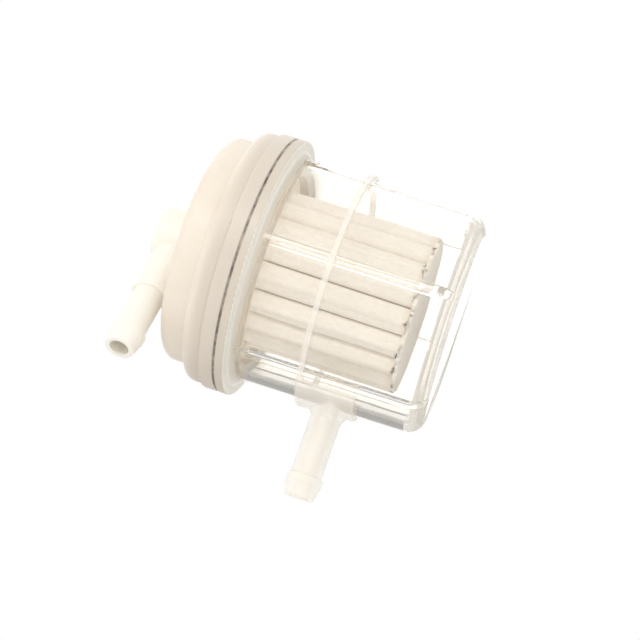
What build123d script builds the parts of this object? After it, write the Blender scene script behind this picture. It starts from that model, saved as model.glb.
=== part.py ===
"""In-line fuel filter: clear ribbed cup, moulded cap, clamped-on saddle spigot and a pleated paper element."""

import os
from math import cos, radians, sin

from build123d import *

# Filter axis along +Z with the cap on top, flat base on z = 0, side spigot along +X. All sizes in mm.
WALL = 1.9

# Ribbed cup
CUP_MOUTH_RADIUS = 29.5
CUP_BASE_RADIUS = 29.0
CUP_CORNER = 4.6
CUP_NECK_RADIUS = 25.4
CUP_NECK_LENGTH = 3.8
CUP_NECK_CHAMFER = 1.2
CUP_FLANGE_THICKNESS = 2.4
SEAM_HEIGHT = 52.2
RIB_COUNT = 6
RIB_HEIGHT = 0.8
RIB_WIDTH = 3.2
RIB_PHASE = 30.0
RIB_EDGE = 1.0

# Flanged joint between cup and cap
FLANGE_RADIUS = 34.2
SEAL_THICKNESS = 0.6
SEAL_RADIUS = 33.9
SEAL_WIDTH = 0.7

# Cap
CAP_FLANGE_THICKNESS = 3.8
CAP_COLLAR_RADIUS = 33.5
CAP_COLLAR_HEIGHT = 5.0
DRUM_RADIUS = 30.0
DRUM_HEIGHT = 16.1
HUB_RADIUS = 7.8
HUB_HEIGHT = 11.8

# Hose spigots, for 8 mm hose
HOSE_RADIUS = 4.0
HOSE_BORE = 2.5
BARB_RADIUS = 4.6
BARB_LENGTH = 5.9
BARB_LAND = 1.6
BARB_TIP_RADIUS = 3.7
CAP_SPIGOT_REACH = 39.5
CAP_SPIGOT_TURN = 28.0
CAP_SPIGOT_DROP = 5.8
CAP_SPIGOT_ROOT_RADIUS = 4.9
CAP_SPIGOT_ROOT_REACH = 21.0
SIDE_SPIGOT_REACH = 53.4
SIDE_SPIGOT_HEIGHT = 23.5

# Saddle and the band that carries it round the cup
SADDLE_TOP_RADIUS = 31.2
SADDLE_BOTTOM_RADIUS = 30.6
SADDLE_BOTTOM = 17.0
SADDLE_TOP = 32.3
SADDLE_ANGLE = 48.0
BAND_RADIUS = 30.8
BAND_WIDTH = 1.4
BAND_HEIGHT = 31.3

# Paper element and its carrier plate
CARRIER_LIP_RADIUS = 33.1
CARRIER_RIM_RADIUS = 30.1
CARRIER_RIM_THICKNESS = 1.5
CARRIER_CLEARANCE = 0.1
CARRIER_WALL = 1.8
CARRIER_DEPTH = 1.5
PORT_RADIUS = 5.0
PORT_RISE = 3.5
PLEAT_COUNT = 18
PLEAT_OUTER_RADIUS = 21.2
PLEAT_INNER_RADIUS = 12.4
PAPER_THICKNESS = 0.5
POTTING_THICKNESS = 1.0
ELEMENT_BOTTOM = 9.5
END_DISC_THICKNESS = 1.2
CORE_RADIUS = 11.4
CORE_WALL = 1.0
CORE_HOLE_RADIUS = 1.5
CORE_HOLE_ROWS = 6
CORE_HOLES_PER_ROW = 9

# Levels worked out from the sizes above
cup_flange_bottom = SEAM_HEIGHT - CUP_FLANGE_THICKNESS
cap_bottom = SEAM_HEIGHT + SEAL_THICKNESS
collar_bottom = cap_bottom + CAP_FLANGE_THICKNESS
collar_top = collar_bottom + CAP_COLLAR_HEIGHT
drum_top = cap_bottom + DRUM_HEIGHT
hub_top = drum_top + HUB_HEIGHT
cap_spigot_height = hub_top - CAP_SPIGOT_DROP
carrier_bottom = SEAM_HEIGHT - CARRIER_DEPTH
carrier_floor = carrier_bottom + CARRIER_WALL
media_top = carrier_bottom - POTTING_THICKNESS
media_bottom = ELEMENT_BOTTOM + END_DISC_THICKNESS


def turned(points, roundings=()):
    """Solid of revolution about Z from (radius, height) points; roundings are (radius, height, fillet)."""
    profile = make_face(Polyline(*points, close=True))
    for corner_radius, corner_height, fillet_radius in roundings:
        corner = profile.vertices().sort_by_distance((corner_radius, corner_height, 0))[0]
        profile = fillet(corner, fillet_radius)
    return revolve(Plane.XZ * profile, Axis.Z)


def ring(outer_radius, inner_radius, bottom, top):
    """Plain ring about Z."""
    return turned(
        [(inner_radius, bottom), (outer_radius, bottom), (outer_radius, top), (inner_radius, top)]
    )


def along_x(shape, height, turn=0.0):
    """Lay a shape built up the Z axis out along +X at a height, then turn it about Z."""
    return Rot(Z=turn) * Pos(Z=height) * Rot(Y=90) * shape


def hose_spigot(start, reach):
    """Barbed tube up the Z axis, from start to reach, with the barb's cylindrical land behind its cone."""
    shoulder = reach - BARB_LENGTH
    return turned(
        [
            (0, start),
            (HOSE_RADIUS, start),
            (HOSE_RADIUS, shoulder),
            (BARB_RADIUS, shoulder + 0.3),
            (BARB_RADIUS, shoulder + 0.3 + BARB_LAND),
            (BARB_TIP_RADIUS, reach),
            (0, reach),
        ],
        [(BARB_TIP_RADIUS, reach, 0.5)],
    )


def cup_envelope(extra):
    """Outside of the cup below its flange, grown outwards by extra."""
    base_radius = CUP_BASE_RADIUS + extra
    return turned(
        [
            (0, 0),
            (base_radius, 0),
            (CUP_MOUTH_RADIUS + extra, cup_flange_bottom),
            (0, cup_flange_bottom),
        ],
        [(base_radius, 0, CUP_CORNER + extra)],
    )


def cup_ribs():
    """Six ribs with rounded crests that run down the side and fade into the flat base."""
    span = 3 * FLANGE_RADIUS
    pair = cup_envelope(RIB_HEIGHT) & Box(span, RIB_WIDTH, span)
    crests = pair.edges().filter_by(
        lambda edge: abs(edge.center().Y) > 0.4 * RIB_WIDTH and edge.center().Z < cup_flange_bottom - 1
    )
    pair = fillet(crests, RIB_EDGE)
    pair_count = RIB_COUNT // 2
    return [Rot(Z=RIB_PHASE + 180 * index / pair_count) * pair for index in range(pair_count)]


def cup_outside():
    """Cup body and ribs with no hollow, also used to shape what clamps on to it."""
    body = cup_envelope(0)
    for rib in cup_ribs():
        body += rib
    return body


def make_cup(outside):
    flange = turned(
        [
            (0, cup_flange_bottom),
            (FLANGE_RADIUS, cup_flange_bottom),
            (FLANGE_RADIUS, SEAM_HEIGHT),
            (0, SEAM_HEIGHT),
        ],
        [(FLANGE_RADIUS, cup_flange_bottom, 0.5), (FLANGE_RADIUS, SEAM_HEIGHT, 0.25)],
    )
    root = turned(
        [
            (CUP_MOUTH_RADIUS - 1, cup_flange_bottom - 1.4),
            (CUP_MOUTH_RADIUS + 0.4, cup_flange_bottom - 1.4),
            (CUP_MOUTH_RADIUS + 2.2, cup_flange_bottom),
            (CUP_MOUTH_RADIUS - 1, cup_flange_bottom),
        ]
    )
    neck_bottom = SEAM_HEIGHT - CUP_NECK_LENGTH - CUP_NECK_CHAMFER
    hollow = turned(
        [
            (0, WALL),
            (CUP_BASE_RADIUS - WALL, WALL),
            (CUP_MOUTH_RADIUS - WALL, neck_bottom),
            (CUP_NECK_RADIUS, neck_bottom + CUP_NECK_CHAMFER),
            (CUP_NECK_RADIUS, SEAM_HEIGHT),
            (0, SEAM_HEIGHT),
        ],
        [(CUP_BASE_RADIUS - WALL, WALL, CUP_CORNER - WALL)],
    )
    port = along_x(Pos(Z=CUP_MOUTH_RADIUS) * Cylinder(HOSE_BORE, 4 * WALL), SIDE_SPIGOT_HEIGHT)
    return outside + flange + root - hollow - port


def make_saddle_band(outside):
    band = ring(
        BAND_RADIUS,
        CUP_BASE_RADIUS - 2 * WALL,
        BAND_HEIGHT - BAND_WIDTH / 2,
        BAND_HEIGHT + BAND_WIDTH / 2,
    )
    pad_profile = make_face(
        Polyline(
            (CUP_BASE_RADIUS - 2 * WALL, SADDLE_BOTTOM),
            (SADDLE_BOTTOM_RADIUS, SADDLE_BOTTOM),
            (SADDLE_TOP_RADIUS, SADDLE_TOP),
            (CUP_BASE_RADIUS - 2 * WALL, SADDLE_TOP),
            close=True,
        )
    )
    pad = Rot(Z=-SADDLE_ANGLE / 2) * revolve(Plane.XZ * pad_profile, Axis.Z, SADDLE_ANGLE)
    pad_edges = pad.edges().filter_by(lambda edge: edge.center().X > SADDLE_BOTTOM_RADIUS * cos(radians(25)))
    pad = fillet(pad_edges, 0.6)
    root_height = 1.6
    root = turned(
        [
            (0, CUP_BASE_RADIUS),
            (HOSE_RADIUS + root_height, SADDLE_BOTTOM_RADIUS - 0.8),
            (HOSE_RADIUS + 0.5, SADDLE_TOP_RADIUS + 0.5),
            (HOSE_RADIUS, SADDLE_TOP_RADIUS + root_height),
            (0, SADDLE_TOP_RADIUS + root_height),
        ]
    )
    spigot = hose_spigot(CUP_BASE_RADIUS - WALL, SIDE_SPIGOT_REACH) + root
    bore = Pos(Z=SIDE_SPIGOT_REACH / 2) * Cylinder(HOSE_BORE, SIDE_SPIGOT_REACH)
    solid = band + pad + along_x(spigot, SIDE_SPIGOT_HEIGHT)
    return solid - outside - along_x(bore, SIDE_SPIGOT_HEIGHT)


def make_cap():
    shell = turned(
        [
            (0, cap_bottom),
            (FLANGE_RADIUS, cap_bottom),
            (FLANGE_RADIUS, collar_bottom),
            (CAP_COLLAR_RADIUS, collar_bottom),
            (CAP_COLLAR_RADIUS, collar_top),
            (DRUM_RADIUS, collar_top),
            (DRUM_RADIUS, drum_top),
            (HUB_RADIUS, drum_top),
            (HUB_RADIUS, hub_top),
            (0, hub_top),
        ],
        [
            (FLANGE_RADIUS, cap_bottom, 0.25),
            (FLANGE_RADIUS, collar_bottom, 0.5),
            (CAP_COLLAR_RADIUS, collar_top, 2.4),
            (DRUM_RADIUS, collar_top, 0.8),
            (DRUM_RADIUS, drum_top, 2.8),
            (HUB_RADIUS, drum_top, 1.6),
            (HUB_RADIUS, hub_top, 1.4),
        ],
    )
    hub_bore_radius = HUB_RADIUS - 2 * WALL
    rim_recess = cap_bottom + CARRIER_RIM_THICKNESS - SEAL_THICKNESS
    hollow = turned(
        [
            (0, cap_bottom),
            (CARRIER_RIM_RADIUS + CARRIER_CLEARANCE, cap_bottom),
            (CARRIER_RIM_RADIUS + CARRIER_CLEARANCE, rim_recess),
            (DRUM_RADIUS - WALL - 0.6, rim_recess),
            (DRUM_RADIUS - WALL - 0.6, drum_top - WALL),
            (hub_bore_radius, drum_top - WALL),
            (hub_bore_radius, cap_spigot_height + HOSE_BORE),
            (0, cap_spigot_height + HOSE_BORE),
        ],
        [(DRUM_RADIUS - WALL - 0.6, drum_top - WALL, 1.6)],
    )
    thick_root = turned(
        [
            (0, 0),
            (CAP_SPIGOT_ROOT_RADIUS, 0),
            (CAP_SPIGOT_ROOT_RADIUS, CAP_SPIGOT_ROOT_REACH),
            (0, CAP_SPIGOT_ROOT_REACH),
        ],
        [(CAP_SPIGOT_ROOT_RADIUS, CAP_SPIGOT_ROOT_REACH, 0.7)],
    )
    spigot = hose_spigot(0, CAP_SPIGOT_REACH) + thick_root
    bore = Pos(Z=CAP_SPIGOT_REACH / 2) * Cylinder(HOSE_BORE, CAP_SPIGOT_REACH)
    solid = shell + along_x(spigot, cap_spigot_height, CAP_SPIGOT_TURN)
    return solid - hollow - along_x(bore, cap_spigot_height, CAP_SPIGOT_TURN)


def make_carrier():
    """Plate that closes the cup's mouth round the element, with a lip between the flanges and a middle port."""
    skirt_radius = CUP_NECK_RADIUS - CARRIER_CLEARANCE
    rim_top = SEAM_HEIGHT + CARRIER_RIM_THICKNESS
    return turned(
        [
            (PORT_RADIUS, carrier_bottom),
            (skirt_radius, carrier_bottom),
            (skirt_radius, SEAM_HEIGHT),
            (CARRIER_LIP_RADIUS, SEAM_HEIGHT),
            (CARRIER_LIP_RADIUS, cap_bottom),
            (CARRIER_RIM_RADIUS, cap_bottom),
            (CARRIER_RIM_RADIUS, rim_top),
            (skirt_radius - CARRIER_WALL, rim_top),
            (skirt_radius - CARRIER_WALL, carrier_floor),
            (PORT_RADIUS + CARRIER_WALL, carrier_floor),
            (PORT_RADIUS + CARRIER_WALL, carrier_floor + PORT_RISE),
            (PORT_RADIUS, carrier_floor + PORT_RISE),
        ],
        [
            (skirt_radius - CARRIER_WALL, carrier_floor, 1.0),
            (PORT_RADIUS + CARRIER_WALL, carrier_floor, 0.8),
        ],
    )


def pleat_path():
    """Closed fold line of the paper: broad rounded lobes with tight inner folds."""
    step = 360 / PLEAT_COUNT
    lobe_half_angle = 0.34 * step
    points = []
    for index in range(PLEAT_COUNT):
        middle = index * step
        for turn, radius in (
            (-lobe_half_angle, PLEAT_OUTER_RADIUS),
            (lobe_half_angle, PLEAT_OUTER_RADIUS),
            (step / 2, PLEAT_INNER_RADIUS),
        ):
            angle = radians(middle + turn)
            points.append((radius * cos(angle), radius * sin(angle)))
    path = make_face(Polyline(*points, close=True))
    middle_radius = (PLEAT_OUTER_RADIUS + PLEAT_INNER_RADIUS) / 2
    outer_folds = path.vertices().filter_by(lambda fold: Vector(fold).length > middle_radius)
    path = fillet(outer_folds, 1.9)
    inner_folds = path.vertices().filter_by(lambda fold: Vector(fold).length < PLEAT_INNER_RADIUS + 0.1)
    return fillet(inner_folds, 0.35)


def make_media():
    outside = pleat_path()
    inside = offset(outside, -PAPER_THICKNESS)
    return Pos(Z=media_bottom) * extrude(outside - inside, media_top - media_bottom)


def make_core():
    """Perforated tube that keeps the pleats from closing inwards."""
    tube = ring(CORE_RADIUS, CORE_RADIUS - CORE_WALL, media_bottom, media_top)
    pitch = (media_top - media_bottom) / (CORE_HOLE_ROWS + 1)
    for row in range(CORE_HOLE_ROWS):
        height = media_bottom + (row + 1) * pitch
        phase = 0.5 * (row % 2)
        for index in range(CORE_HOLES_PER_ROW):
            turn = 360 * (index + phase) / CORE_HOLES_PER_ROW
            drill = Pos(Z=CORE_RADIUS) * Cylinder(CORE_HOLE_RADIUS, 4 * CORE_WALL)
            tube -= along_x(drill, height, turn)
    return tube


def build():
    outside = cup_outside()
    return {
        "cup": make_cup(outside),
        "saddle_band": make_saddle_band(outside),
        "cap": make_cap(),
        "flange_seal": ring(SEAL_RADIUS, SEAL_RADIUS - SEAL_WIDTH, SEAM_HEIGHT, cap_bottom),
        "carrier_plate": make_carrier(),
        "top_potting": ring(PLEAT_OUTER_RADIUS - 0.6, PORT_RADIUS + 1, media_top, carrier_bottom),
        "filter_media": make_media(),
        "core_tube": make_core(),
        "end_disc": ring(PLEAT_OUTER_RADIUS - 0.8, 0, ELEMENT_BOTTOM, media_bottom),
    }


os.makedirs("parts", exist_ok=True)
for node, shape in build().items():
    shape.label = node
    export_step(shape, f"parts/{node}.step")
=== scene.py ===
import math
import random

import bmesh
import bpy
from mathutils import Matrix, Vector, noise


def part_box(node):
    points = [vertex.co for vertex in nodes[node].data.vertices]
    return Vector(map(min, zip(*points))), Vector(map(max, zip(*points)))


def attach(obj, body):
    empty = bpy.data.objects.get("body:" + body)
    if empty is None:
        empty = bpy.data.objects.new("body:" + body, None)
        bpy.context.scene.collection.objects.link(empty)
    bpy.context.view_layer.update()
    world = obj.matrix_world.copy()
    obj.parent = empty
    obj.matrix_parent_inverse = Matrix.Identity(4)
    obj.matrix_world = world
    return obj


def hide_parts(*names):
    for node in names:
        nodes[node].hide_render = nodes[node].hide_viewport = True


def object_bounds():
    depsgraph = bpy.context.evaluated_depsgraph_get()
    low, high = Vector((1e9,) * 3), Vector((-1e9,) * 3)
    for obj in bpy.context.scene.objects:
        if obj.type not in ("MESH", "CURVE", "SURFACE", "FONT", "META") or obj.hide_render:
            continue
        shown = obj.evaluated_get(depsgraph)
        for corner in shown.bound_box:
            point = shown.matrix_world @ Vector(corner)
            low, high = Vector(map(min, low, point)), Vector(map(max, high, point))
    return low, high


# Small in-line fuel filter: clear ribbed cup, milky cap and band, pleated paper element

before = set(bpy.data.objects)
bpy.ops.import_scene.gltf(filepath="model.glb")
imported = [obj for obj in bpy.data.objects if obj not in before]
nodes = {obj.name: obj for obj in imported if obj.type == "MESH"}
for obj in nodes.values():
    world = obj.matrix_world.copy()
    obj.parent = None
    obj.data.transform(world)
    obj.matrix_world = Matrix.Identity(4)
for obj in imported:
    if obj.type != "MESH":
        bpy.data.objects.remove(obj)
cadLow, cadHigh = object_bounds()
mm = 0.001
print("frame loaded:", ", ".join(sorted(nodes)))


def linkObject(name, mesh):
    obj = bpy.data.objects.new(name, mesh)
    bpy.context.scene.collection.objects.link(obj)
    return obj


def meshFrom(bm, name):
    mesh = bpy.data.meshes.new(name)
    bm.to_mesh(mesh)
    bm.free()
    for poly in mesh.polygons:
        poly.use_smooth = True
    return mesh


def addNode(tree, kind, **values):
    node = tree.nodes.new(kind)
    for key, value in values.items():
        setattr(node, key, value)
    return node


def setInputs(node, **values):
    for key, value in values.items():
        node.inputs[key.replace("_", " ")].default_value = value


# Shared effects, each one a node group

def newGroup(name, inputs, outputs):
    group = bpy.data.node_groups.new(name, "ShaderNodeTree")
    for label, kind, value in inputs:
        socket = group.interface.new_socket(name=label, in_out="INPUT", socket_type=kind)
        socket.default_value = value
    for label, kind in outputs:
        group.interface.new_socket(name=label, in_out="OUTPUT", socket_type=kind)
    enter = group.nodes.new("NodeGroupInput")
    leave = group.nodes.new("NodeGroupOutput")
    return group, enter, leave


grainSettings = {
    "cloudDetail": 3.0,
    "cloudRoughness": 0.55,
    "cloudSpan": (0.35, 0.7),
    "fineDetail": 2.0,
    "fineRoughness": 0.6,
    "fineShare": 0.15,
    "gloss": (0.3, 0.5),
}
speckSettings = {
    "dotSpan": (0.05, 0.16),
    "patchScale": 120.0,
    "patchDetail": 4.0,
    "patchSpan": (0.55, 0.7),
}


def buildMouldedGrain(settings):
    # cloudy tone of moulded plastic, fine surface grain and slight sink waves
    group, enter, leave = newGroup(
        "mouldedGrain",
        [
            ("Cloud Scale", "NodeSocketFloat", 60.0),
            ("Grain Scale", "NodeSocketFloat", 2500.0),
            ("Tone", "NodeSocketColor", (0.9, 0.85, 0.75, 1)),
            ("Deep Tone", "NodeSocketColor", (0.8, 0.7, 0.55, 1)),
        ],
        [("Color", "NodeSocketColor"), ("Height", "NodeSocketFloat"), ("Roughness", "NodeSocketFloat")],
    )
    link = group.links.new
    place = addNode(group, "ShaderNodeTexCoord")
    cloud = addNode(group, "ShaderNodeTexNoise")
    setInputs(cloud, Detail=settings["cloudDetail"], Roughness=settings["cloudRoughness"])
    link(place.outputs["Object"], cloud.inputs["Vector"])
    link(enter.outputs["Cloud Scale"], cloud.inputs["Scale"])
    grain = addNode(group, "ShaderNodeTexNoise")
    setInputs(grain, Detail=settings["fineDetail"], Roughness=settings["fineRoughness"])
    link(place.outputs["Object"], grain.inputs["Vector"])
    link(enter.outputs["Grain Scale"], grain.inputs["Scale"])
    spread = addNode(group, "ShaderNodeMapRange")
    setInputs(spread, From_Min=settings["cloudSpan"][0], From_Max=settings["cloudSpan"][1])
    link(cloud.outputs["Fac"], spread.inputs["Value"])
    mix = addNode(group, "ShaderNodeMix", data_type="RGBA")
    link(spread.outputs["Result"], mix.inputs["Factor"])
    link(enter.outputs["Tone"], mix.inputs[6])
    link(enter.outputs["Deep Tone"], mix.inputs[7])
    link(mix.outputs[2], leave.inputs["Color"])
    height = addNode(group, "ShaderNodeMath", operation="MULTIPLY_ADD")
    height.inputs[1].default_value = settings["fineShare"]
    link(grain.outputs["Fac"], height.inputs[0])
    link(cloud.outputs["Fac"], height.inputs[2])
    link(height.outputs["Value"], leave.inputs["Height"])
    gloss = addNode(group, "ShaderNodeMapRange")
    setInputs(gloss, To_Min=settings["gloss"][0], To_Max=settings["gloss"][1])
    link(cloud.outputs["Fac"], gloss.inputs["Value"])
    link(gloss.outputs["Result"], leave.inputs["Roughness"])
    return group


def buildSpecks(settings):
    # sparse dust and tiny scratches as one mask
    group, enter, leave = newGroup(
        "specks",
        [("Scale", "NodeSocketFloat", 900.0), ("Amount", "NodeSocketFloat", 0.3)],
        [("Mask", "NodeSocketFloat")],
    )
    link = group.links.new
    place = addNode(group, "ShaderNodeTexCoord")
    cells = addNode(group, "ShaderNodeTexVoronoi")
    link(place.outputs["Object"], cells.inputs["Vector"])
    link(enter.outputs["Scale"], cells.inputs["Scale"])
    dots = addNode(group, "ShaderNodeMapRange")
    setInputs(dots, From_Min=settings["dotSpan"][0], From_Max=settings["dotSpan"][1], To_Min=1.0, To_Max=0.0)
    link(cells.outputs["Distance"], dots.inputs["Value"])
    patches = addNode(group, "ShaderNodeTexNoise")
    setInputs(patches, Scale=settings["patchScale"], Detail=settings["patchDetail"])
    link(place.outputs["Object"], patches.inputs["Vector"])
    keep = addNode(group, "ShaderNodeMapRange")
    setInputs(keep, From_Min=settings["patchSpan"][0], From_Max=settings["patchSpan"][1])
    link(patches.outputs["Fac"], keep.inputs["Value"])
    both = addNode(group, "ShaderNodeMath", operation="MULTIPLY")
    link(dots.outputs["Result"], both.inputs[0])
    link(keep.outputs["Result"], both.inputs[1])
    scaled = addNode(group, "ShaderNodeMath", operation="MULTIPLY", use_clamp=True)
    link(both.outputs["Value"], scaled.inputs[0])
    link(enter.outputs["Amount"], scaled.inputs[1])
    link(scaled.outputs["Value"], leave.inputs["Mask"])
    return group


mouldedGrain = buildMouldedGrain(grainSettings)
specks = buildSpecks(speckSettings)
print("shared effects built")


def startMaterial(name):
    mat = bpy.data.materials.new(name)
    mat.use_nodes = True
    tree = mat.node_tree
    return mat, tree, tree.nodes["Principled BSDF"]


def placeGroup(tree, group, **values):
    node = tree.nodes.new("ShaderNodeGroup")
    node.node_tree = group
    setInputs(node, **values)
    return node


def addBump(tree, shader, heightSocket, distance):
    bump = addNode(tree, "ShaderNodeBump")
    setInputs(bump, Strength=1.0, Distance=distance)
    tree.links.new(heightSocket, bump.inputs["Height"])
    tree.links.new(bump.outputs["Normal"], shader.inputs["Normal"])


def heightMask(tree, place, low, high):
    # 1 below low, fading to 0 at high, in the frame's own height
    split = addNode(tree, "ShaderNodeSeparateXYZ")
    tree.links.new(place.outputs["Object"], split.inputs["Vector"])
    mask = addNode(tree, "ShaderNodeMapRange", interpolation_type="SMOOTHSTEP")
    setInputs(mask, From_Min=low, From_Max=high, To_Min=1.0, To_Max=0.0)
    tree.links.new(split.outputs["Z"], mask.inputs["Value"])
    return mask.outputs["Result"]


milkyShared = {
    "dustAmount": 0.25,
    "dustTone": (0.45, 0.38, 0.3, 1),
    "ior": 1.5,
    "glowScale": 0.004,
    "glowRadius": (1.0, 0.8, 0.6),
    "bump": 0.00008,
}


def milkyNylon(name, look):
    mat, tree, shader = startMaterial(name)
    grain = placeGroup(
        tree, mouldedGrain, Cloud_Scale=look["cloudScale"], Tone=look["tone"], Deep_Tone=look["deepTone"]
    )
    color = grain.outputs["Color"]
    place = addNode(tree, "ShaderNodeTexCoord")
    if "flangeShadeTone" in look:
        # painted shade: the solid flanges get a darker tone than the thin walls above them, standing in for
        # the shade on them
        flangeShade = addNode(tree, "ShaderNodeMix", data_type="RGBA")
        flangeShade.inputs[7].default_value = look["flangeShadeTone"]
        tree.links.new(heightMask(tree, place, *look["flangeShadeSpan"]), flangeShade.inputs["Factor"])
        tree.links.new(color, flangeShade.inputs[6])
        color = flangeShade.outputs[2]
        # and painted light: the slender spigot and its hub at the top get a paler tone, standing in for the
        # light on them
        spigotLight = addNode(tree, "ShaderNodeMix", data_type="RGBA")
        spigotLight.inputs[6].default_value = look["spigotLightTone"]
        tree.links.new(heightMask(tree, place, *look["spigotLightSpan"]), spigotLight.inputs["Factor"])
        tree.links.new(color, spigotLight.inputs[7])
        color = spigotLight.outputs[2]
    dust = placeGroup(tree, specks, Amount=milkyShared["dustAmount"])
    dusty = addNode(tree, "ShaderNodeMix", data_type="RGBA")
    dusty.inputs[7].default_value = milkyShared["dustTone"]
    tree.links.new(dust.outputs["Mask"], dusty.inputs["Factor"])
    tree.links.new(color, dusty.inputs[6])
    tree.links.new(dusty.outputs[2], shader.inputs["Base Color"])
    tree.links.new(grain.outputs["Roughness"], shader.inputs["Roughness"])
    setInputs(
        shader,
        IOR=milkyShared["ior"],
        Subsurface_Weight=look["glow"],
        Subsurface_Scale=milkyShared["glowScale"],
    )
    shader.inputs["Subsurface Radius"].default_value = milkyShared["glowRadius"]
    addBump(tree, shader, grain.outputs["Height"], milkyShared["bump"])
    if look.get("seeThrough"):
        # thin parts let some of what is behind them show
        through = addNode(tree, "ShaderNodeBsdfTransparent")
        through.inputs["Color"].default_value = look["throughTint"]
        pick = addNode(tree, "ShaderNodeMixShader")
        pick.inputs["Fac"].default_value = look["seeThrough"]
        tree.links.new(shader.outputs["BSDF"], pick.inputs[1])
        tree.links.new(through.outputs["BSDF"], pick.inputs[2])
        tree.links.new(pick.outputs["Shader"], tree.nodes["Material Output"].inputs["Surface"])
    return mat


def clearPlastic(name, look):
    mat, tree, shader = startMaterial(name)
    link = tree.links.new
    dust = placeGroup(tree, specks, Amount=look["dustAmount"], Scale=look["dustScale"])
    place = addNode(tree, "ShaderNodeTexCoord")
    flow = addNode(tree, "ShaderNodeTexNoise")
    setInputs(flow, Scale=look["flowScale"], Detail=look["flowDetail"])
    link(place.outputs["Object"], flow.inputs["Vector"])
    gloss = addNode(tree, "ShaderNodeMapRange")
    setInputs(gloss, To_Min=look["gloss"][0], To_Max=look["gloss"][1])
    link(dust.outputs["Mask"], gloss.inputs["Value"])
    link(gloss.outputs["Result"], shader.inputs["Roughness"])
    setInputs(shader, IOR=look["ior"], Transmission_Weight=1.0)
    shader.inputs["Base Color"].default_value = look["tint"]
    addBump(tree, shader, flow.outputs["Fac"], look["flowBump"])
    # the solid flange and the thick neck below it are milky, the thin wall hardly at all
    milk = addNode(tree, "ShaderNodeBsdfPrincipled")
    cloud = placeGroup(
        tree, mouldedGrain, Cloud_Scale=look["cloudScale"], Tone=look["milk"], Deep_Tone=look["deepMilk"]
    )
    # painted light: faces turned downwards get a near-white milk tone, standing in for the light on the
    # flange underside
    face = addNode(tree, "ShaderNodeNewGeometry")
    lean = addNode(tree, "ShaderNodeSeparateXYZ")
    link(face.outputs["Normal"], lean.inputs["Vector"])
    undersideLit = addNode(tree, "ShaderNodeMapRange")
    setInputs(undersideLit, From_Min=look["litUndersideSpan"][0], From_Max=look["litUndersideSpan"][1])
    link(lean.outputs["Z"], undersideLit.inputs["Value"])
    glow = addNode(tree, "ShaderNodeMix", data_type="RGBA")
    glow.inputs[7].default_value = look["litUndersideMilk"]
    link(undersideLit.outputs["Result"], glow.inputs["Factor"])
    link(cloud.outputs["Color"], glow.inputs[6])
    link(glow.outputs[2], milk.inputs["Base Color"])
    link(cloud.outputs["Roughness"], milk.inputs["Roughness"])
    split = addNode(tree, "ShaderNodeSeparateXYZ")
    link(place.outputs["Object"], split.inputs["Vector"])
    amount = addNode(tree, "ShaderNodeValToRGB")
    ramp = amount.color_ramp
    for index, (height, share) in enumerate(look["milkAt"]):
        stop = ramp.elements[index] if index < 2 else ramp.elements.new(height)
        stop.position = height
        stop.color = (share, share, share, 1)
    along = addNode(tree, "ShaderNodeMapRange")
    setInputs(along, From_Max=look["flangeTop"])
    link(split.outputs["Z"], along.inputs["Value"])
    link(along.outputs["Result"], amount.inputs["Fac"])
    body = addNode(tree, "ShaderNodeMixShader")
    link(amount.outputs["Color"], body.inputs["Fac"])
    link(shader.outputs["BSDF"], body.inputs[1])
    link(milk.outputs["BSDF"], body.inputs[2])
    # light reaches the paper through the wall, and long inner reflections are let out
    through = addNode(tree, "ShaderNodeBsdfTransparent")
    through.inputs["Color"].default_value = look["through"]
    path = addNode(tree, "ShaderNodeLightPath")
    deep = addNode(tree, "ShaderNodeMath", operation="GREATER_THAN")
    deep.inputs[1].default_value = look["bounces"]
    link(path.outputs["Ray Depth"], deep.inputs[0])
    soft = addNode(tree, "ShaderNodeMath", operation="MAXIMUM")
    link(path.outputs["Is Shadow Ray"], soft.inputs[0])
    link(path.outputs["Is Diffuse Ray"], soft.inputs[1])
    letOut = addNode(tree, "ShaderNodeMath", operation="MAXIMUM")
    link(soft.outputs["Value"], letOut.inputs[0])
    link(deep.outputs["Value"], letOut.inputs[1])
    pick = addNode(tree, "ShaderNodeMixShader")
    link(letOut.outputs["Value"], pick.inputs["Fac"])
    link(body.outputs["Shader"], pick.inputs[1])
    link(through.outputs["BSDF"], pick.inputs[2])
    link(pick.outputs["Shader"], tree.nodes["Material Output"].inputs["Surface"])
    return mat


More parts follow.
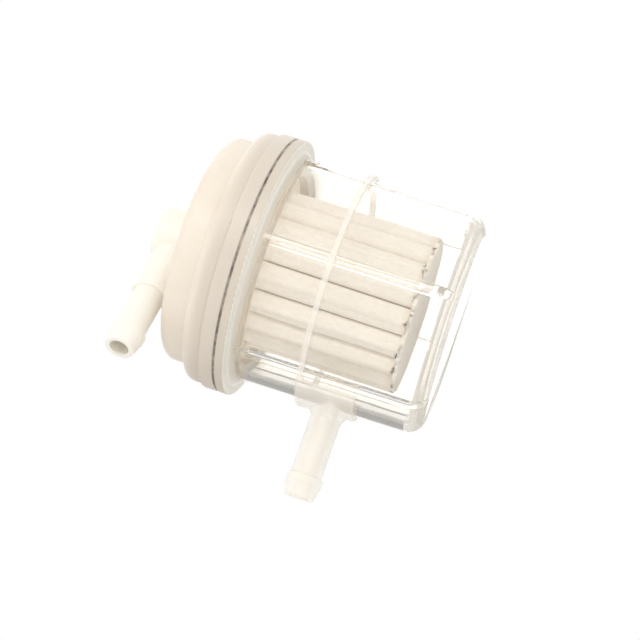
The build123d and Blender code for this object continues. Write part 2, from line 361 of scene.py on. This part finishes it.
def filterPaper(name, look):
    mat, tree, shader = startMaterial(name)
    place = addNode(tree, "ShaderNodeTexCoord")
    fibres = addNode(tree, "ShaderNodeTexNoise")
    setInputs(fibres, Scale=look["fibreScale"], Detail=5.0, Roughness=0.65)
    stretch = addNode(tree, "ShaderNodeMapping")
    setInputs(stretch, Scale=look["fibreStretch"])
    tree.links.new(place.outputs["Object"], stretch.inputs["Vector"])
    tree.links.new(stretch.outputs["Vector"], fibres.inputs["Vector"])
    blotch = addNode(tree, "ShaderNodeTexNoise")
    setInputs(blotch, Scale=look["blotchScale"], Detail=3.0)
    tree.links.new(place.outputs["Object"], blotch.inputs["Vector"])
    tone = addNode(tree, "ShaderNodeMix", data_type="RGBA")
    tone.inputs[6].default_value = look["tone"]
    tone.inputs[7].default_value = look["paleTone"]
    tree.links.new(blotch.outputs["Fac"], tone.inputs["Factor"])
    fleck = addNode(tree, "ShaderNodeMix", data_type="RGBA", blend_type="MULTIPLY")
    fleck.inputs["Factor"].default_value = look["fleckShare"]
    tree.links.new(tone.outputs[2], fleck.inputs[6])
    shade = addNode(tree, "ShaderNodeMapRange")
    setInputs(
        shade,
        From_Min=look["fibreSpan"][0],
        From_Max=look["fibreSpan"][1],
        To_Min=look["fibreShade"][0],
        To_Max=look["fibreShade"][1],
    )
    tree.links.new(fibres.outputs["Fac"], shade.inputs["Value"])
    tree.links.new(shade.outputs["Result"], fleck.inputs[7])
    # painted shade: a darker band along the cut end, standing in for the shade where the pleat ends turn
    # away
    split = addNode(tree, "ShaderNodeSeparateXYZ")
    tree.links.new(place.outputs["Object"], split.inputs["Vector"])
    wobble = addNode(tree, "ShaderNodeMath", operation="MULTIPLY_ADD")
    wobble.inputs[1].default_value = look["endShadeWobble"]
    tree.links.new(blotch.outputs["Fac"], wobble.inputs[0])
    tree.links.new(split.outputs["Z"], wobble.inputs[2])
    endShade = addNode(tree, "ShaderNodeMapRange")
    endShadeTop = look["endHeight"] + look["endBand"]
    setInputs(
        endShade, From_Min=endShadeTop, From_Max=endShadeTop + look["endShadeFade"], To_Min=look["endShadeShare"], To_Max=0.0
    )
    tree.links.new(wobble.outputs["Value"], endShade.inputs["Value"])
    endShaded = addNode(tree, "ShaderNodeMix", data_type="RGBA")
    endShaded.inputs[7].default_value = look["endShadeTone"]
    tree.links.new(endShade.outputs["Result"], endShaded.inputs["Factor"])
    tree.links.new(fleck.outputs[2], endShaded.inputs[6])
    tree.links.new(endShaded.outputs[2], shader.inputs["Base Color"])
    rough = addNode(tree, "ShaderNodeMapRange")
    setInputs(rough, To_Min=look["rough"][0], To_Max=look["rough"][1])
    tree.links.new(fibres.outputs["Fac"], rough.inputs["Value"])
    tree.links.new(rough.outputs["Result"], shader.inputs["Roughness"])
    addBump(tree, shader, fibres.outputs["Fac"], look["bump"])
    return mat


def dullGrain(name, look):
    # seal and adhesive: cloudy tone, coarse surface and perhaps a wet coat
    mat, tree, shader = startMaterial(name)
    grain = placeGroup(
        tree, mouldedGrain, Cloud_Scale=look["cloudScale"], Tone=look["tone"], Deep_Tone=look["deepTone"]
    )
    tree.links.new(grain.outputs["Color"], shader.inputs["Base Color"])
    tree.links.new(grain.outputs["Roughness"], shader.inputs["Roughness"])
    setInputs(shader, Coat_Weight=look["coat"])
    addBump(tree, shader, grain.outputs["Height"], look["bump"])
    return mat


capLook = {
    "tone": (0.85, 0.78, 0.69, 1),
    "deepTone": (0.76, 0.68, 0.58, 1),
    # painted shade: a darker tone on the flanges, by height
    "flangeShadeTone": (0.66, 0.59, 0.51, 1),
    "flangeShadeSpan": (0.0577, 0.0622),
    # painted light: a paler tone on the spigot and hub, by height
    "spigotLightTone": (0.93, 0.88, 0.80, 1),
    "spigotLightSpan": (0.0682, 0.0712),
    "cloudScale": 48.0,
    "glow": 0.3,
}
bandLook = {
    "tone": (1.0, 0.98, 0.94, 1),
    "deepTone": (0.98, 0.95, 0.90, 1),
    "cloudScale": 70.0,
    "glow": 0.3,
    "seeThrough": 0.65,
    "throughTint": (0.995, 0.98, 0.955, 1),
}
carrierLook = {
    "tone": (0.90, 0.82, 0.70, 1),
    "deepTone": (0.86, 0.77, 0.64, 1),
    "cloudScale": 60.0,
    "glow": 0.3,
}
coreLook = {
    "tone": (0.85, 0.80, 0.72, 1),
    "deepTone": (0.80, 0.74, 0.64, 1),
    "cloudScale": 60.0,
    "glow": 0.2,
}
endLook = {
    "tone": (0.99, 0.95, 0.89, 1),
    "deepTone": (0.94, 0.88, 0.80, 1),
    "cloudScale": 180.0,
    "glow": 0.2,
}
capMaterial = milkyNylon("milkyCap", capLook)
bandMaterial = milkyNylon("milkyBand", bandLook)
carrierMaterial = milkyNylon("milkyCarrier", carrierLook)
coreMaterial = milkyNylon("corePlastic", coreLook)
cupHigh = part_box("cup")[1]
clearLook = {
    "ior": 1.50,
    "tint": (0.975, 0.96, 0.935, 1),
    "through": (0.97, 0.965, 0.95, 1),
    "bounces": 3.5,
    "milk": (0.68, 0.61, 0.52, 1),
    "deepMilk": (0.64, 0.57, 0.48, 1),
    # painted light: the near-white tone for faces turned downwards
    "litUndersideMilk": (0.97, 0.95, 0.90, 1),
    "litUndersideSpan": (-0.45, -0.85),
    "cloudScale": 80.0,
    "dustAmount": 0.5,
    "dustScale": 700.0,
    "flowScale": 90.0,
    "flowDetail": 2.0,
    "flowBump": 0.00003,
    "gloss": (0.02, 0.25),
    "flangeTop": cupHigh.z,
    "milkAt": ((0.0, 0.02), (1.0, 0.9), (0.86, 0.02), (0.915, 0.3), (0.94, 0.5), (0.955, 0.9)),
}
clearMaterial = clearPlastic("clearCup", clearLook)
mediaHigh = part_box("filter_media")[1]
discLow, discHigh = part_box("end_disc")
paperLook = {
    "tone": (0.94, 0.88, 0.80, 1),
    "paleTone": (0.98, 0.93, 0.87, 1),
    # painted shade: the darker tone of the band at the cut end
    "endShadeTone": (0.80, 0.71, 0.60, 1),
    "fibreScale": 1400.0,
    "fibreStretch": (1, 1, 0.45),
    "fibreSpan": (0.3, 0.75),
    "fibreShade": (0.72, 1.1),
    "fleckShare": 0.35,
    "blotchScale": 160.0,
    "endHeight": discLow.z,
    "endBand": 0.0022,
    "endShadeWobble": 0.003,
    "endShadeFade": 0.0022,
    "endShadeShare": 0.75,
    "rough": (0.8, 0.95),
    "bump": 0.00012,
}
paperMaterial = filterPaper("filterPaper", paperLook)
sealLook = {
    "tone": (0.10, 0.08, 0.07, 1),
    "deepTone": (0.42, 0.36, 0.29, 1),
    "cloudScale": 400.0,
    "coat": 0.0,
    "bump": 0.0001,
}
adhesiveLook = {
    "tone": (0.80, 0.66, 0.46, 1),
    "deepTone": (0.68, 0.52, 0.34, 1),
    "cloudScale": 220.0,
    "coat": 0.3,
    "bump": 0.0003,
}
sealMaterial = dullGrain("flangeSeal", sealLook)
adhesiveMaterial = dullGrain("adhesive", adhesiveLook)
endMaterial = milkyNylon("endPotting", endLook)

finishes = {
    "cap": capMaterial,
    "cup": clearMaterial,
    "saddle_band": bandMaterial,
    "flange_seal": sealMaterial,
    "carrier_plate": carrierMaterial,
    "top_potting": adhesiveMaterial,
    "core_tube": coreMaterial,
}
for nodeName, finish in finishes.items():
    for slot in nodes[nodeName].material_slots:
        slot.material = finish
print("materials placed on", len(finishes), "frame parts")


paperPleats = {
    "count": 18,
    "outerRadius": 21.2 * mm,
    "innerRadius": 17.3 * mm,
    "cornerDepth": 2.6 * mm,
    "bulge": 0.6 * mm,
    "flatShare": 0.34,
    "closeShare": 0.97,
    "pointsPerPleat": 30,
    "rows": 52,
    "thickness": 0.4 * mm,
    "shift": 1.6,
    "lean": 2.2,
    "dip": 0.4 * mm,
    "depthSpread": (0.75, 1.15),
    "backShare": 0.4,
    "cornerShare": 0.72,
    "startLift": 0.2 * mm,
    "sway": 0.45 * mm,
    "ragged": 3.2 * mm,
    "tornShare": 0.08,
    "fineTear": (700, 0.6),
    "coarseTear": (260, 0.8),
    "waveScale": (110, 45),
    "waveDip": 0.25 * mm,
    "seed": 11,
}


def pleatPoint(settings, share, lobe, skin):
    # radius and part of the half step, for a broad round back, a soft corner and a nearly radial flank
    outer = settings["outerRadius"] - lobe["dip"] - skin
    inner = settings["innerRadius"] - skin
    corner = settings["cornerDepth"] * lobe["depth"]
    away = abs(share - 0.5) * 2
    inset = skin / (settings["innerRadius"] * math.pi / settings["count"])
    flat = settings["flatShare"]
    close = settings["closeShare"]
    backEnd = settings["backShare"]
    cornerEnd = settings["cornerShare"]
    if away < backEnd:
        part = away / backEnd * flat
        radius = outer - settings["bulge"] * (part / flat) ** 2
    elif away < cornerEnd:
        swing = (away - backEnd) / (cornerEnd - backEnd) * math.pi / 2
        part = flat + (close - flat - 0.7 * inset) * math.sin(swing)
        radius = outer - settings["bulge"] - corner * (1 - math.cos(swing))
    else:
        down = (away - cornerEnd) / (1 - cornerEnd)
        start = close - 0.7 * inset
        part = start + (1 - start) * down ** 6
        high = outer - settings["bulge"] - corner
        radius = high + (inner - high) * math.sin(down * math.pi / 2)
    return radius, part if share > 0.5 else -part


def buildPaper(settings):
    rng = random.Random(settings["seed"])
    count = settings["count"]
    step = 2 * math.pi / count
    # uneven folds: each boundary between two pleats is shifted a little and leans its own way
    seams = [
        {
            "shift": math.radians(rng.uniform(-settings["shift"], settings["shift"])),
            "lean": math.radians(rng.uniform(-1, 1) * settings["lean"]),
        }
        for index in range(count)
    ]
    lobes = [
        {"dip": rng.uniform(0, settings["dip"]), "depth": rng.uniform(*settings["depthSpread"])}
        for index in range(count)
    ]
    perPleat = settings["pointsPerPleat"]
    total = count * perPleat
    floor = discLow.z + settings["startLift"]
    tall = mediaHigh.z - floor
    bm = bmesh.new()
    orderLayer = bm.verts.layers.int.new("order")
    skinLayer = bm.verts.layers.int.new("skin")
    rims = []
    for skin in (0, 1):
        made = bmesh.ops.create_circle(bm, cap_ends=False, segments=total, radius=settings["outerRadius"])
        ringVerts = sorted(made["verts"], key=lambda v: math.atan2(v.co.y, v.co.x) % (2 * math.pi))
        for index, vert in enumerate(ringVerts):
            vert[orderLayer] = index
            vert[skinLayer] = skin
            vert.co.z = floor
        edges = list({edge for vert in ringVerts for edge in vert.link_edges})
        rims.append(edges)
        for row in range(settings["rows"]):
            made = bmesh.ops.extrude_edge_only(bm, edges=edges)
            newVerts = [g for g in made["geom"] if isinstance(g, bmesh.types.BMVert)]
            edges = [g for g in made["geom"] if isinstance(g, bmesh.types.BMEdge)]
            bmesh.ops.translate(bm, verts=newVerts, vec=(0, 0, tall / settings["rows"]))
        rims.append(edges)
    bmesh.ops.bridge_loops(bm, edges=rims[0] + rims[2])
    bmesh.ops.bridge_loops(bm, edges=rims[1] + rims[3])
    for vert in bm.verts:
        lobeIndex, place = divmod(vert[orderLayer], perPleat)
        rise = (vert.co.z - floor) / tall
        share = (place + 0.5) / perPleat
        before, after = seams[lobeIndex], seams[(lobeIndex + 1) % count]
        startTurn = lobeIndex * step + before["shift"] + before["lean"] * (rise - 0.5)
        endTurn = (lobeIndex + 1) * step + after["shift"] + after["lean"] * (rise - 0.5)
        radius, part = pleatPoint(settings, share, lobes[lobeIndex], settings["thickness"] * vert[skinLayer])
        outness = (radius - settings["innerRadius"]) / (settings["outerRadius"] - settings["innerRadius"])
        outness = min(1.0, max(0.0, outness))
        middle = (startTurn + endTurn) / 2
        turn = middle + part * (endTurn - startTurn) / 2
        back = settings["outerRadius"]
        rough = middle + (share - 0.5) * (endTurn - startTurn)
        spot = Vector((back * math.cos(rough), back * math.sin(rough), vert.co.z))
        across, along = settings["waveScale"]
        wave = noise.noise(Vector((spot.x * across, spot.y * across, spot.z * along)))
        turn += settings["sway"] * wave * outness / radius
        radius -= abs(wave) * settings["waveDip"] * outness
        torn = 1 - rise / settings["tornShare"]
        if torn > 0:
            tear = 0
            for level, (scale, weight) in ((3.1, settings["fineTear"]), (7.7, settings["coarseTear"])):
                tear += weight * abs(noise.noise(Vector((spot.x * scale, spot.y * scale, level))))
            vert.co.z += settings["ragged"] * outness * torn * tear
        vert.co.x = radius * math.cos(turn)
        vert.co.y = radius * math.sin(turn)
    bmesh.ops.recalc_face_normals(bm, faces=bm.faces)
    mesh = meshFrom(bm, "pleatedPaper")
    mesh.materials.append(paperMaterial)
    return linkObject("pleatedPaper", mesh)


pleatedPaper = buildPaper(paperPleats)
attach(pleatedPaper, "root")
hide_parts("filter_media")
print("pleated paper made")


endCap = {
    "radius": 20.7 * mm,
    "points": 320,
    "ragged": 2.6 * mm,
    "notch": 1.2 * mm,
    "coarseScale": 5,
    "fineScale": 26,
    "jitter": 0.08 * mm,
    "roll": 0.25 * mm,
    "seed": 5,
}


def rimNoise(turn, scale, level):
    return noise.noise(Vector((math.cos(turn) * scale, math.sin(turn) * scale, level)))


def buildEndCap(settings):
    # poured disc with a torn, uneven rim
    rng = random.Random(settings["seed"])
    bm = bmesh.new()
    made = bmesh.ops.create_circle(bm, cap_ends=True, segments=settings["points"], radius=settings["radius"])
    for vert in made["verts"]:
        vert.co.z = discLow.z
        turn = math.atan2(vert.co.y, vert.co.x)
        coarse = rimNoise(turn, settings["coarseScale"], 1.3)
        fine = rimNoise(turn, settings["fineScale"], 4.9)
        length = settings["radius"] - settings["notch"] * abs(coarse) - settings["ragged"] * abs(fine)
        length -= rng.uniform(0, settings["jitter"])
        vert.co.x = length * math.cos(turn)
        vert.co.y = length * math.sin(turn)
    sheet = bm.faces[:]
    raised = bmesh.ops.extrude_face_region(bm, geom=sheet)
    top = [g for g in raised["geom"] if isinstance(g, bmesh.types.BMVert)]
    bmesh.ops.translate(bm, verts=top, vec=(0, 0, discHigh.z - discLow.z))
    bmesh.ops.recalc_face_normals(bm, faces=bm.faces)
    flat = [face for face in bm.faces if len(face.verts) > 4]
    rim = list({edge for face in flat for edge in face.edges})
    bmesh.ops.bevel(
        bm, geom=rim, offset=settings["roll"], segments=2, profile=0.5, affect="EDGES", material=-1
    )
    mesh = meshFrom(bm, "endCap")
    mesh.materials.append(endMaterial)
    return linkObject("endCap", mesh)


endCapPiece = buildEndCap(endCap)
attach(endCapPiece, "root")
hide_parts("end_disc")
print("end cap made")


floorLook = {
    "half": 3.0,
    "cloudScale": 40.0,
    "tone": (0.90, 0.90, 0.89, 1),
    "paleTone": (0.93, 0.93, 0.92, 1),
    "roughness": 0.9,
}


def buildFloor(look):
    bm = bmesh.new()
    bmesh.ops.create_grid(bm, x_segments=1, y_segments=1, size=look["half"])
    floor = linkObject("studioFloor", meshFrom(bm, "studioFloor"))
    mat, tree, shader = startMaterial("paleFloor")
    place = addNode(tree, "ShaderNodeTexCoord")
    grain = addNode(tree, "ShaderNodeTexNoise")
    setInputs(grain, Scale=look["cloudScale"])
    tree.links.new(place.outputs["Object"], grain.inputs["Vector"])
    tone = addNode(tree, "ShaderNodeMix", data_type="RGBA")
    tone.inputs[6].default_value = look["tone"]
    tone.inputs[7].default_value = look["paleTone"]
    tree.links.new(grain.outputs["Fac"], tone.inputs["Factor"])
    tree.links.new(tone.outputs[2], shader.inputs["Base Color"])
    setInputs(shader, Roughness=look["roughness"])
    # one-sided sheet: from below it is open, so a low camera still sees the object
    clear = addNode(tree, "ShaderNodeBsdfTransparent")
    face = addNode(tree, "ShaderNodeNewGeometry")
    pick = addNode(tree, "ShaderNodeMixShader")
    tree.links.new(face.outputs["Backfacing"], pick.inputs["Fac"])
    tree.links.new(shader.outputs["BSDF"], pick.inputs[1])
    tree.links.new(clear.outputs["BSDF"], pick.inputs[2])
    tree.links.new(pick.outputs["Shader"], tree.nodes["Material Output"].inputs["Surface"])
    floor.data.materials.append(mat)


studio = {
    "white": 1.3,
    "warmWhite": (1.0, 0.985, 0.96, 1),
    "cardDark": 0.42,
    "cardTurn": math.radians(303),
    "cardEdge": (0.84, 0.95),
    "tent": 0.84,
    "keyPlace": (-0.15, 0.46, 0.13),
    "keySize": (0.07, 0.35),
    "keyPower": 0.6,
    "fillPlace": (0.35, 0.20, 0.15),
    "fillSize": (0.35, 0.35),
    "fillPower": 0.1,
}


def buildWorld(settings):
    # white tent with one dark card to the side, so the clear wall shows its lower edge
    world = bpy.data.worlds.new("whiteTent")
    bpy.context.scene.world = world
    world.use_nodes = True
    tree = world.node_tree
    background = tree.nodes["Background"]
    output = tree.nodes["World Output"]
    place = addNode(tree, "ShaderNodeTexCoord")
    flat = addNode(tree, "ShaderNodeVectorMath", operation="MULTIPLY")
    flat.inputs[1].default_value = (1, 1, 0)
    tree.links.new(place.outputs["Generated"], flat.inputs[0])
    level = addNode(tree, "ShaderNodeVectorMath", operation="NORMALIZE")
    tree.links.new(flat.outputs["Vector"], level.inputs[0])
    facing = addNode(tree, "ShaderNodeVectorMath", operation="DOT_PRODUCT")
    facing.inputs[1].default_value = (math.cos(settings["cardTurn"]), math.sin(settings["cardTurn"]), 0)
    tree.links.new(level.outputs["Vector"], facing.inputs[0])
    card = addNode(tree, "ShaderNodeMapRange", interpolation_type="SMOOTHSTEP")
    setInputs(
        card,
        From_Min=settings["cardEdge"][0],
        From_Max=settings["cardEdge"][1],
        To_Min=settings["white"],
        To_Max=settings["cardDark"],
    )
    tree.links.new(facing.outputs["Value"], card.inputs["Value"])
    tree.links.new(card.outputs["Result"], background.inputs["Strength"])
    background.inputs["Color"].default_value = settings["warmWhite"]
    backdrop = addNode(tree, "ShaderNodeBackground")
    setInputs(backdrop, Strength=1.0)
    backdrop.inputs["Color"].default_value = (1, 1, 1, 1)
    tent = addNode(tree, "ShaderNodeBackground")
    setInputs(tent, Strength=settings["tent"])
    tent.inputs["Color"].default_value = settings["warmWhite"]
    path = addNode(tree, "ShaderNodeLightPath")
    lit = addNode(tree, "ShaderNodeMixShader")
    tree.links.new(path.outputs["Is Diffuse Ray"], lit.inputs["Fac"])
    tree.links.new(background.outputs["Background"], lit.inputs[1])
    tree.links.new(tent.outputs["Background"], lit.inputs[2])
    pick = addNode(tree, "ShaderNodeMixShader")
    tree.links.new(path.outputs["Is Camera Ray"], pick.inputs["Fac"])
    tree.links.new(lit.outputs["Shader"], pick.inputs[1])
    tree.links.new(backdrop.outputs["Background"], pick.inputs[2])
    tree.links.new(pick.outputs["Shader"], output.inputs["Surface"])


def softLight(name, place, target, size, power):
    light = bpy.data.lights.new(name, "AREA")
    light.energy = power
    light.shape = "RECTANGLE"
    light.size, light.size_y = size
    obj = bpy.data.objects.new(name, light)
    bpy.context.scene.collection.objects.link(obj)
    obj.location = place
    obj.rotation_euler = (Vector(target) - Vector(place)).to_track_quat("-Z", "Y").to_euler()


cameraSettings = {
    "lens": 78.75,
    "sensor": 36.0,
    "nearest": 0.01,
    "farthest": 10.0,
    "place": (0.08561, 0.34616, -0.01609),
    "turn": (114.325, 70.405, -169.457),
}


def buildCamera(settings):
    data = bpy.data.cameras.new("studioCamera")
    data.lens = settings["lens"]
    data.sensor_width = settings["sensor"]
    data.clip_start = settings["nearest"]
    data.clip_end = settings["farthest"]
    camera = bpy.data.objects.new("studioCamera", data)
    bpy.context.scene.collection.objects.link(camera)
    camera.location = settings["place"]
    camera.rotation_euler = [math.radians(value) for value in settings["turn"]]
    bpy.context.scene.camera = camera


buildFloor(floorLook)
buildWorld(studio)
middle = (cadLow + cadHigh) / 2
for label in ("key", "fill"):
    place = middle + Vector(studio[label + "Place"])
    softLight(label + "Light", place, middle, studio[label + "Size"], studio[label + "Power"])
buildCamera(cameraSettings)
bpy.context.scene.view_settings.view_transform = "Standard"
print("studio ready")
